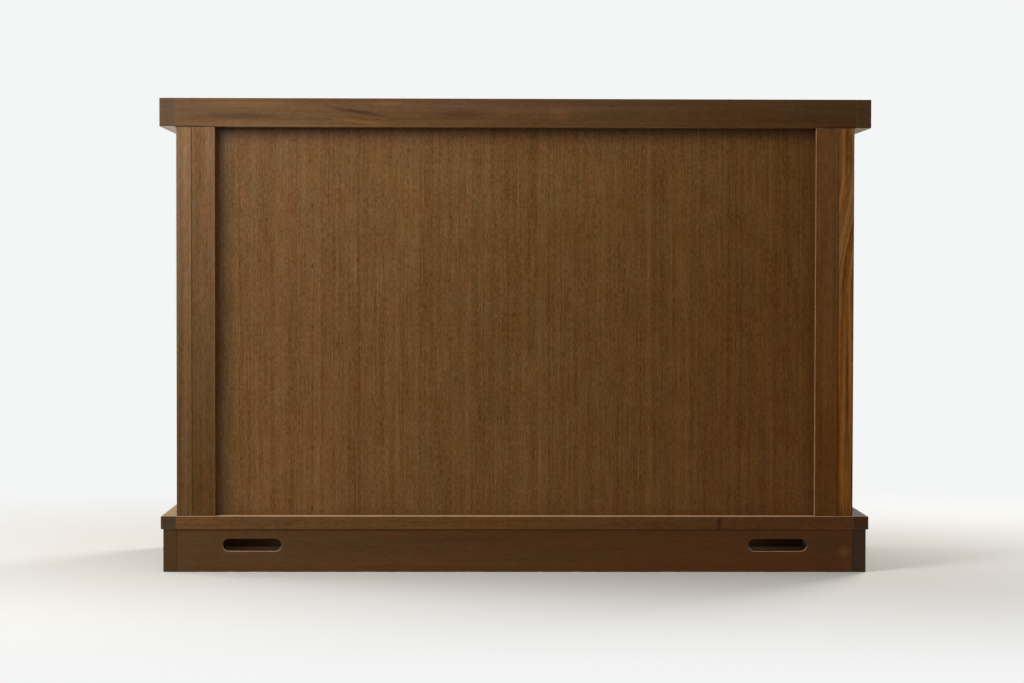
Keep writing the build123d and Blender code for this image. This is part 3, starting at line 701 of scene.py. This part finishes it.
stained_walnut(
    "back_stile_left",
    "Z",
    ("#623a0e", "#66411f"),
    drift="Z",
    seed=2600,
    streak=1.1,
    joined=("-X",),
    seam_tone=0.3,
    # Its side towards the panel is painted pale, painted light on the face towards the daylight, and its
    # arris there is pale, partly wear and partly painted light.
    bare=(("+X", "#a07a5a", "+Y", 8),),
    rubbed_and_lit=((("+X", "+Y"), 1.2, 0.45),),
    worn_and_lit_tone="#c8a282",
    marks=[
        ((-13, 0), (7, 420), 0, (-0.12, -0.10, -0.06)),
        ((3, 0), (8, 600), 0, (0.06, 0.0, -0.05)),
        ((15, 40), (6, 500), 0, (0.14, 0.12, 0.05)),
        # Painted shade towards the foot.
        ((0, -351), (60, 260), 0, (-0.14, -0.14, -0.10)),
    ],
)
for level in ("top", "bottom"):
    bare_pine("back_rail_" + level, "X", seed=250)


# Brads: six fine steel pins through the panel into the partition, blackened, driven nearly flush.
# Each is drawn wire with a small upset head, domed by the hammer, and a cut point.

BRAD_HEAD_HEIGHT = 0.6
BRAD_SHANK_RADIUS = 0.7
BRAD_POINT = 2.0
BRAD_POINT_SHARE = 0.2
BRAD_DOME = 0.4
BRAD_DOME_STEPS = 3
BRAD_SIDES = 24
BRAD_SMOOTH_ANGLE = 30
SLIGHT = 1e-5
SQUARE_ON = 0.9


def pick(piece, kind, wanted):
    """Selects the faces or edges of a piece in edit mode that pass a test, and no others."""
    bpy.ops.mesh.select_mode(type=kind)
    bpy.ops.mesh.select_all(action="DESELECT")
    form = bmesh.from_edit_mesh(piece.data)
    parts = form.faces if kind == "FACE" else form.edges
    for part in parts:
        if wanted(part):
            part.select_set(True)
    bmesh.update_edit_mesh(piece.data)


def lies_at(edge, y):
    """Whether both ends of an edge are at a depth."""
    return all(abs(corner.co.y - y) < SLIGHT for corner in edge.verts)


def settle(piece, smooth_angle):
    """Puts a piece's place into its mesh and smooths it up to an angle."""
    bpy.ops.object.select_all(action="DESELECT")
    piece.select_set(True)
    bpy.context.view_layer.objects.active = piece
    bpy.ops.object.transform_apply(location=True, rotation=True, scale=True)
    bpy.ops.object.shade_smooth_by_angle(angle=math.radians(smooth_angle))


head_y = brads_high.y - BRAD_HEAD_HEIGHT * MM
bpy.ops.mesh.primitive_cylinder_add(
    vertices=BRAD_SIDES,
    radius=BRAD_HEAD_RADIUS * MM,
    depth=BRAD_HEAD_HEIGHT * MM,
    location=(brads_x, brads_high.y - BRAD_HEAD_HEIGHT * MM / 2, first_z),
    rotation=(math.radians(90), 0, 0),
)
brad = bpy.context.active_object
settle(brad, BRAD_SMOOTH_ANGLE)
bpy.ops.object.mode_set(mode="EDIT")
pick(brad, "EDGE", lambda edge: lies_at(edge, brads_high.y))
bpy.ops.mesh.bevel(offset=BRAD_DOME * MM, segments=BRAD_DOME_STEPS, affect="EDGES")
pick(brad, "FACE", lambda face: face.normal.y < -SQUARE_ON)
bpy.ops.mesh.inset(thickness=(BRAD_HEAD_RADIUS - BRAD_SHANK_RADIUS) * MM)
shank = {"value": (0, brads_low.y + BRAD_POINT * MM - head_y, 0)}
bpy.ops.mesh.extrude_region_move(TRANSFORM_OT_translate=shank)
bpy.ops.mesh.extrude_region_move(TRANSFORM_OT_translate={"value": (0, -BRAD_POINT * MM, 0)})
bpy.ops.transform.resize(
    value=(BRAD_POINT_SHARE, 1, BRAD_POINT_SHARE),
    center_override=(brads_x, brads_low.y, first_z),
)
bpy.ops.object.mode_set(mode="OBJECT")
brads = [brad]
for step in range(1, BRAD_COUNT):
    bpy.ops.object.select_all(action="DESELECT")
    brad.select_set(True)
    bpy.context.view_layer.objects.active = brad
    bpy.ops.object.duplicate(linked=False)
    bpy.ops.transform.translate(value=(0, 0, step * brad_pitch))
    brads.append(bpy.context.active_object)


def darkened_steel(name):
    """Mild steel wire, darkened: nearly black, gone rust brown in specks of about a millimetre."""
    made, tree = blank(name)
    here = add(tree, "TexCoord").outputs["Object"]
    speck = add(tree, "TexNoise", {"Vector": here, "Scale": 900.0, "Detail": 3.0}).outputs[0]
    rust = add(tree, "MapRange", {0: speck, 1: 0.45, 2: 0.65}, **EASED).outputs[0]
    colour = {0: rust, 6: linear("#3a2816"), 7: linear("#68441f")}
    dull = add(tree, "MapRange", {0: speck, 1: 0.3, 2: 0.7, 3: 0.35, 4: 0.6}, **EASED).outputs[0]
    relief = add(tree, "Bump", {"Strength": 0.6, "Distance": 0.1 * MM, "Height": speck}).outputs[0]
    surface = {
        "Base Color": add(tree, "Mix", colour, data_type="RGBA").outputs[2],
        "Metallic": 0.9,
        "Roughness": dull,
        "Normal": relief,
    }
    shader = add(tree, "BsdfPrincipled", surface)
    add(tree, "OutputMaterial", {"Surface": shader.outputs[0]})
    return made


brad_steel = darkened_steel("steel_wire_darkened")
for count, brad in enumerate(brads, start=1):
    settle(brad, BRAD_SMOOTH_ANGLE)
    brad.name = f"brad_{count}"
    brad.data.name = f"brad_{count}"
    brad.data.materials.append(brad_steel)
    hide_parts("back_panel_brads")
    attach(brad, "cupboard")
dress("back_panel_brads", brad_steel)


# Head rail and threshold: a walnut rail over the doors and one under them, between the front posts.
# Each is ploughed with two tracks that the doors' tongues run in.

for name in ("head_rail", "threshold"):
    stained_walnut(name, "X", ("#583c1e", "#604426"), seed=3100)


# Inside: the floor, ceiling, upright partition and shelf are pine boards, planed and left bare.
# The boards sit in grooves, but the shelf lies loose on a cleat at each end.

bare_pine("bottom_board", "X", tone="#b08a60", pith=(5, 80), ring=8, seed=40)
bare_pine("ceiling_board", "X", tone="#b08a60", pith=(15, 60), ring=7, seed=450)
bare_pine("partition", "Z", tone="#b08a60", pith=(60, 20), ring=7, seed=120)
bare_pine("shelf", "X", tone="#b48e63", pith=(-20, 50), ring=6, seed=800)
for side in ("left", "right"):
    bare_pine("shelf_cleat_" + side, "Y", tone="#a37e55", seed=60)


# Top: a veneered board let into a deep walnut edging, on four pine battens.
# The side edgings run through to the back, where their end grain shows greyer.
# Their undersides are painted pale where the top overhangs the sides: a painted reflection of the
# pale surround seen at a low angle, brightest on the right, on the daylight's side.

stained_walnut(
    "top_edge_rear",
    "X",
    ("#4d3318", "#6d4d2e"),
    seed=200,
    streak=0.75,
    width=30,
    lined=0.25,
    fibre=0.6,
    ring_weight=0.05,
    joined=("-X", "+X"),
    seam_tone=0.75,
    wear=0.1,
    worn_and_lit_tone="#b08455",
    marks=[
        # The lower arris: worn pale along its middle, with a painted shadow line over the two posts, where
        # the top sits on them.
        ((-25, 330), (3, 260), 0, (0.34, 0.30, 0.20)),
        ((-25, -120), (2.6, 420), 0, (0.18, 0.18, 0.14)),
        ((-26, 592), (3.2, 80), 0, (-0.85, -0.85, -0.80)),
        ((-26, -592), (3.2, 80), 0, (-0.80, -0.80, -0.75)),
        # A dark flame of grain with a pale one under it, and the patches to their left and right.
        ((-6, 503), (8, 115), 0, (-0.40, -0.36, -0.24)),
        ((1, 282), (6, 75), -8.5, (-0.48, -0.46, -0.36)),
        ((-15, 288), (5, 72), -6.8, (0.42, 0.35, 0.20)),
        ((17, 232), (5, 55), 0, (0.42, 0.33, 0.12)),
        ((-2, 101), (14, 85), 0, (-0.28, -0.26, -0.18)),
        ((0, -81), (20, 28), 0, (0.24, 0.17, 0.05)),
        ((0, -188), (16, 60), 0, (-0.12, -0.10, -0.06)),
        ((-21, -242), (5, 85), 0, (0.16, 0.14, 0.08)),
        ((15, 481), (7, 120), 0, (0.24, 0.16, 0.03)),
        ((3, -563), (3, 60), 0, (0.14, 0.10, 0.04)),
        ((0, 590), (70, 75), 0, (-0.16, -0.13, -0.08)),
    ],
)
stained_walnut(
    "top_edge_left",
    "Y",
    ("#593a18", "#5f4020"),
    end_tone="#4e371e",
    drift="Y",
    seed=150,
    # Its underside's pale tone is a painted reflection.
    bare=(("-Z", "#b8ab8c", "-Z", 4),),
)
stained_walnut(
    "top_edge_right",
    "Y",
    ("#603f1c", "#644422"),
    end_tone="#59432d",
    drift="Y",
    seed=170,
    # Its underside's near-white tone is a painted reflection, on the daylight's side.
    bare=(("-Z", "#f0e6d6", "-Z", 4),),
)
stained_walnut("top_edge_front", "X", ("#583b1e", "#65482a"), seed=1100, streak=1.3, width=40)
walnut_veneer(
    "top_panel",
    "X",
    ("#664519", "#6b4a22"),
    drift="Y",
    seed=900,
    roughness=0.6,
    shine=0.15,
    coat=0.0,
)
bare_pine("top_battens", "Y")


# Sliding doors: two walnut frames, mortised and tenoned, each with a pane of glass in a rebate.
# Upright lattice bars and three cross bars stand before the glass, and four beads hold it in.

GLASS_IOR = 1.52
GLASS_SHINE = 0.25


def clear_glass(name):
    """Float glass: clear, with the faint green that shows at its edges and a hint of dust."""
    made, tree = blank(name)
    here = add(tree, "TexCoord").outputs["Object"]
    dust = add(tree, "TexNoise", {"Vector": here, "Scale": 14.0, "Detail": 4.0}).outputs[0]
    dull = add(tree, "MapRange", {0: dust, 1: 0.4, 2: 0.8, 3: 0.015, 4: 0.06}, **EASED).outputs[0]
    wave = add(tree, "TexNoise", {"Vector": here, "Scale": 5.0, "Detail": 0.0}).outputs[0]
    relief = add(tree, "Bump", {"Strength": 0.1, "Distance": 0.1 * MM, "Height": wave}).outputs[0]
    surface = {
        "Base Color": linear("#e6f0ea"),
        "Roughness": dull,
        "IOR": GLASS_IOR,
        "Specular IOR Level": GLASS_SHINE,
        "Transmission Weight": 1.0,
        "Normal": relief,
    }
    shader = add(tree, "BsdfPrincipled", surface)
    clear = add(tree, "BsdfTransparent", {"Color": linear("#dfe9e3")})
    lamp_ray = add(tree, "LightPath").outputs["Is Shadow Ray"]
    mixed = add(tree, "MixShader", {0: lamp_ray, 1: shader.outputs[0], 2: clear.outputs[0]})
    add(tree, "OutputMaterial", {"Surface": mixed.outputs[0]})
    return made


def aged_brass(name):
    """Yellow brass, pressed and brushed: clouded brown with age, with fine upright brush strokes."""
    made, tree = blank(name)
    here = add(tree, "TexCoord").outputs["Object"]
    cloud = add(tree, "TexNoise", {"Vector": here, "Scale": 120.0, "Detail": 4.0}).outputs[0]
    brushed = add(tree, "Mapping", {"Vector": here, "Scale": (3000, 3000, 60)}).outputs[0]
    stroke = add(tree, "TexNoise", {"Vector": brushed, "Scale": 1.0, "Detail": 2.0}).outputs[0]
    brown = add(tree, "MapRange", {0: cloud, 1: 0.42, 2: 0.66}, **EASED).outputs[0]
    colour = {0: brown, 6: linear("#8f7040"), 7: linear("#4e3b22")}
    worn = weighed(tree, [(cloud, 0.6), (stroke, 0.5)])
    dull = add(tree, "MapRange", {0: worn, 1: 0.7, 2: 1.3, 3: 0.38, 4: 0.58}, **EASED).outputs[0]
    relief = add(tree, "Bump", {"Strength": 0.4, "Distance": 0.05 * MM, "Height": stroke}).outputs[0]
    surface = {
        "Base Color": add(tree, "Mix", colour, data_type="RGBA").outputs[2],
        "Metallic": 1.0,
        "Roughness": dull,
        "Normal": relief,
    }
    shader = add(tree, "BsdfPrincipled", surface)
    add(tree, "OutputMaterial", {"Surface": shader.outputs[0]})
    return made


glass = clear_glass("glass_float")
brass = aged_brass("brass_aged")
DOOR_TONES = ("#54391e", "#5e4227")
DOOR_FIGURE = {"streak": 1.3, "width": 24, "lined": 0.8}
STILE_SEEDS = {"left": 800, "right": 1000}
RAIL_SEED = 2700
for door in ("left_door", "right_door"):
    for side, seed in STILE_SEEDS.items():
        stained_walnut(f"{door}_stile_{side}", "Z", DOOR_TONES, seed=seed, **DOOR_FIGURE)
    for rail in ("head_rail", "foot_rail"):
        stained_walnut(f"{door}_{rail}", "X", DOOR_TONES, seed=RAIL_SEED, **DOOR_FIGURE)
    stained_walnut(door + "_lattice_bars", "Z", DOOR_TONES, streak=1.6, width=16, wear=0.0)
    stained_walnut(door + "_cross_bars", "X", DOOR_TONES, wear=0.0)
    stained_walnut(door + "_glass_beads", "Z", DOOR_TONES, wear=0.0)
    dress(door + "_glass", glass)
    dress(door + "_finger_pull", brass)


# Finger pulls: an upright oblong of sheet brass let into each door's outer stile, its middle
# pressed into a deep cup with a rounded floor and its rim left flat, a little proud of the wood.

PULL_CORNER = 4.0
PULL_CORNER_STEPS = 8
PULL_PLATE = 0.9
PULL_WALL = 0.8
PULL_CUP_WIDTH = 12.0
PULL_CUP_HEIGHT = 62.0
PULL_CUP_TAPER = (0.9, 1, 0.98)
PULL_FLOOR_ROUND = 1.8
PULL_FLOOR_STEPS = 4
PULL_EDGE_ROUND = 0.25
PULL_EDGE_STEPS = 3
PULL_EDGE_ANGLE = 50
PLATE_SMOOTH_ANGLE = 30
PULL_SMOOTH_ANGLE = 40


def press_cup(piece, facing_y, plate, width, height, depth, middle):
    """Sets a flat face of the plate in to an oblong and pushes that in or out by a depth."""
    pick(piece, "FACE", lambda face: face.normal.y * facing_y > SQUARE_ON)
    border = (plate.x - width * MM) / 2
    bpy.ops.mesh.inset(thickness=border)
    narrowing = height * MM / (plate.z - 2 * border)
    bpy.ops.transform.resize(value=(1, 1, narrowing), center_override=tuple(middle))
    bpy.ops.mesh.extrude_region_move(TRANSFORM_OT_translate={"value": (0, depth, 0)})
    bpy.ops.transform.resize(value=PULL_CUP_TAPER, center_override=tuple(middle))


for door in ("left_door", "right_door"):
    node = door + "_finger_pull"
    low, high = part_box(node)
    middle = (low + high) / 2
    span = high - low
    plate_back = low.y + PULL_PLATE * MM
    floor_y = high.y - PULL_WALL * MM
    bpy.ops.mesh.primitive_cube_add(size=1, location=(middle.x, (low.y + plate_back) / 2, middle.z))
    pull = bpy.context.active_object
    pull.name = door + "_pull"
    pull.data.name = pull.name
    pull.scale = (span.x, PULL_PLATE * MM, span.z)
    settle(pull, PLATE_SMOOTH_ANGLE)
    bpy.ops.object.mode_set(mode="EDIT")
    pick(pull, "EDGE", lambda edge: abs(edge.verts[0].co.y - edge.verts[1].co.y) > SLIGHT)
    bpy.ops.mesh.bevel(offset=PULL_CORNER * MM, segments=PULL_CORNER_STEPS, affect="EDGES")
    hollow = (PULL_CUP_WIDTH - 2 * PULL_WALL, PULL_CUP_HEIGHT - 2 * PULL_WALL)
    press_cup(pull, -1, span, *hollow, floor_y - low.y, middle)
    pick(pull, "EDGE", lambda edge: lies_at(edge, floor_y))
    bpy.ops.mesh.bevel(offset=PULL_FLOOR_ROUND * MM, segments=PULL_FLOOR_STEPS, affect="EDGES")
    press_cup(pull, 1, span, PULL_CUP_WIDTH, PULL_CUP_HEIGHT, high.y - plate_back, middle)
    bpy.ops.object.mode_set(mode="OBJECT")
    soften = pull.modifiers.new("edge_round", "BEVEL")
    soften.width = PULL_EDGE_ROUND * MM
    soften.segments = PULL_EDGE_STEPS
    soften.limit_method = "ANGLE"
    soften.angle_limit = math.radians(PULL_EDGE_ANGLE)
    bpy.ops.object.modifier_apply(modifier=soften.name)
    settle(pull, PULL_SMOOTH_ANGLE)
    pull.data.materials.append(brass)
    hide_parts(node)
    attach(pull, door)


# Studio: a pale floor that fades into a white surround, daylight from the back's left as in the
# photograph, and a weaker lamp on the side with the doors. The camera looks at the back.

FLOOR_SIZE = 60.0
FLOOR_FADE = 1.3
SURROUND = "#f4f5f5"
# What the glowing floor loses where it lights the wood, and where the front and the back mirror it.
GLOW_LOST_LIGHTING = 0.55
GLOW_LOST_FRONT = 0.6
GLOW_LOST_BACK = 0.92

bpy.ops.mesh.primitive_plane_add(size=FLOOR_SIZE, location=(0, 0, 0))
floor = bpy.context.active_object
floor.name = "studio_floor"
made, tree = blank("paper_floor")
foot_low, foot_high = cad_box
foot = [(foot_high[0] - foot_low[0]) / 2, (foot_high[1] - foot_low[1]) / 2, 0]
here = add(tree, "TexCoord").outputs["Object"]
apart = add(tree, "VectorMath", {0: here}, operation="ABSOLUTE").outputs[0]
apart = add(tree, "VectorMath", {0: apart, 1: foot}, operation="SUBTRACT").outputs[0]
apart = add(tree, "VectorMath", {0: apart, 1: (0, 0, 0)}, operation="MAXIMUM").outputs[0]
away = add(tree, "VectorMath", {0: apart}, operation="LENGTH").outputs["Value"]
fade = add(tree, "MapRange", {0: away, 1: 0.0, 2: FLOOR_FADE}, **EASED).outputs[0]
path = add(tree, "LightPath").outputs
shown = {0: path["Is Diffuse Ray"], 1: -GLOW_LOST_LIGHTING, 2: 1.0}
shown = add(tree, "Math", shown, operation="MULTIPLY_ADD").outputs[0]
depth = add(tree, "SeparateXYZ", {0: here}).outputs["Y"]
lost = {0: depth, 1: -0.2, 2: 0.6, 3: -GLOW_LOST_FRONT, 4: -GLOW_LOST_BACK}
lost = add(tree, "MapRange", lost, **EASED).outputs[0]
shown = {0: path["Is Glossy Ray"], 1: lost, 2: shown}
shown = add(tree, "Math", shown, operation="MULTIPLY_ADD").outputs[0]
paper = add(tree, "BsdfDiffuse", {"Color": linear("#e9e4da")})
glow = add(tree, "Emission", {"Color": linear(SURROUND), "Strength": shown})
lit = add(tree, "MixShader", {0: fade, 1: paper.outputs[0], 2: glow.outputs[0]})
add(tree, "OutputMaterial", {"Surface": lit.outputs[0]})
floor.data.materials.append(made)

# The surround is white to the eye and dim to the wood, whose gloss mirrors half of it in front,
# less to the left and hardly any behind, as the photograph's room is dark there.
FILL_LEVEL = 0.42
MIRRORED_FRONT = 0.5
MIRRORED_BACK = 0.03
MIRRORED_LEFT_SHARE = 0.35

world = bpy.data.worlds.new("studio_surround")
bpy.context.scene.world = world
world.use_nodes = True
tree = world.node_tree
tree.nodes.clear()
path = add(tree, "LightPath").outputs
seen = {0: path["Is Camera Ray"], 1: path["Is Transmission Ray"]}
seen = add(tree, "Math", seen, operation="MAXIMUM").outputs[0]
toward = add(tree, "SeparateXYZ", {0: add(tree, "TexCoord").outputs["Generated"]}).outputs
mirrored = {0: toward["Y"], 1: -0.4, 2: 0.3, 3: MIRRORED_FRONT, 4: MIRRORED_BACK}
mirrored = add(tree, "MapRange", mirrored, **EASED).outputs[0]
sideways = {0: toward["X"], 1: -0.2, 2: 0.15, 3: MIRRORED_LEFT_SHARE, 4: 1.0}
sideways = add(tree, "MapRange", sideways, **EASED).outputs[0]
mirrored = add(tree, "Math", {0: mirrored, 1: sideways}, operation="MULTIPLY").outputs[0]
mirrored = add(tree, "Math", {0: mirrored, 1: path["Is Glossy Ray"]}, operation="MULTIPLY").outputs[0]
fill = add(tree, "Math", {0: 1.0, 1: path["Is Glossy Ray"]}, operation="SUBTRACT").outputs[0]
level = add(tree, "Math", {0: fill, 1: FILL_LEVEL, 2: mirrored}, operation="MULTIPLY_ADD").outputs[0]
level = add(tree, "Mix", {0: seen, 2: level, 3: 1.0}).outputs[0]
back = add(tree, "Background", {"Color": linear(SURROUND), "Strength": level})
add(tree, "OutputWorld", {"Surface": back.outputs[0]})


def soft_lamp(name, place, towards, size, watts, colour):
    """A square diffused lamp aimed at a point, not seen by the camera itself."""
    data = bpy.data.lights.new(name, "AREA")
    data.size = size
    data.energy = watts
    data.color = linear(colour)[:3]
    lamp = bpy.data.objects.new(name, data)
    bpy.context.scene.collection.objects.link(lamp)
    lamp.location = place
    lamp.rotation_euler = (Vector(towards) - Vector(place)).to_track_quat("-Z", "Y").to_euler()
    lamp.visible_camera = False


COOL_LIGHT = "#fafbff"
soft_lamp(
    "daylight",
    place=(1.3, 1.45, 1.38),
    towards=(0.2, 0.2, 0.65),
    size=0.9,
    watts=29,
    colour="#f6f9ff",
)
soft_lamp(
    "front_fill",
    place=(-1.9, -2.3, 1.5),
    towards=(0, -0.2, 0.45),
    size=1.4,
    watts=80,
    colour=COOL_LIGHT,
)
soft_lamp(
    "side_fill",
    place=(2.6, -0.9, 1.3),
    towards=(0.5, -0.1, 0.45),
    size=1.2,
    watts=22,
    colour=COOL_LIGHT,
)
# Two tiny lamps inside the plinth give the faint warm light that shows through the hand slots.
for name, x in (("in_plinth_left", -0.46), ("in_plinth_right", 0.46)):
    soft_lamp(
        name,
        place=(x, -0.05, 0.016),
        towards=(x, -0.2, 0.014),
        size=0.02,
        watts=0.02,
        colour="#fff0da",
    )

CAMERA_PLACE = (0.0697, 4.6785, 0.5437)
CAMERA_TURN = (88.412, -0.109, 179.191)
CAMERA_LENS = 86.28
CAMERA_SENSOR_WIDTH = 36.0
camera_data = bpy.data.cameras.new("camera")
camera_data.lens = CAMERA_LENS
camera_data.sensor_width = CAMERA_SENSOR_WIDTH
camera = bpy.data.objects.new("camera", camera_data)
camera.location = CAMERA_PLACE
camera.rotation_euler = [math.radians(angle) for angle in CAMERA_TURN]
bpy.context.scene.collection.objects.link(camera)
bpy.context.scene.camera = camera
bpy.context.scene.view_settings.view_transform = "Standard"
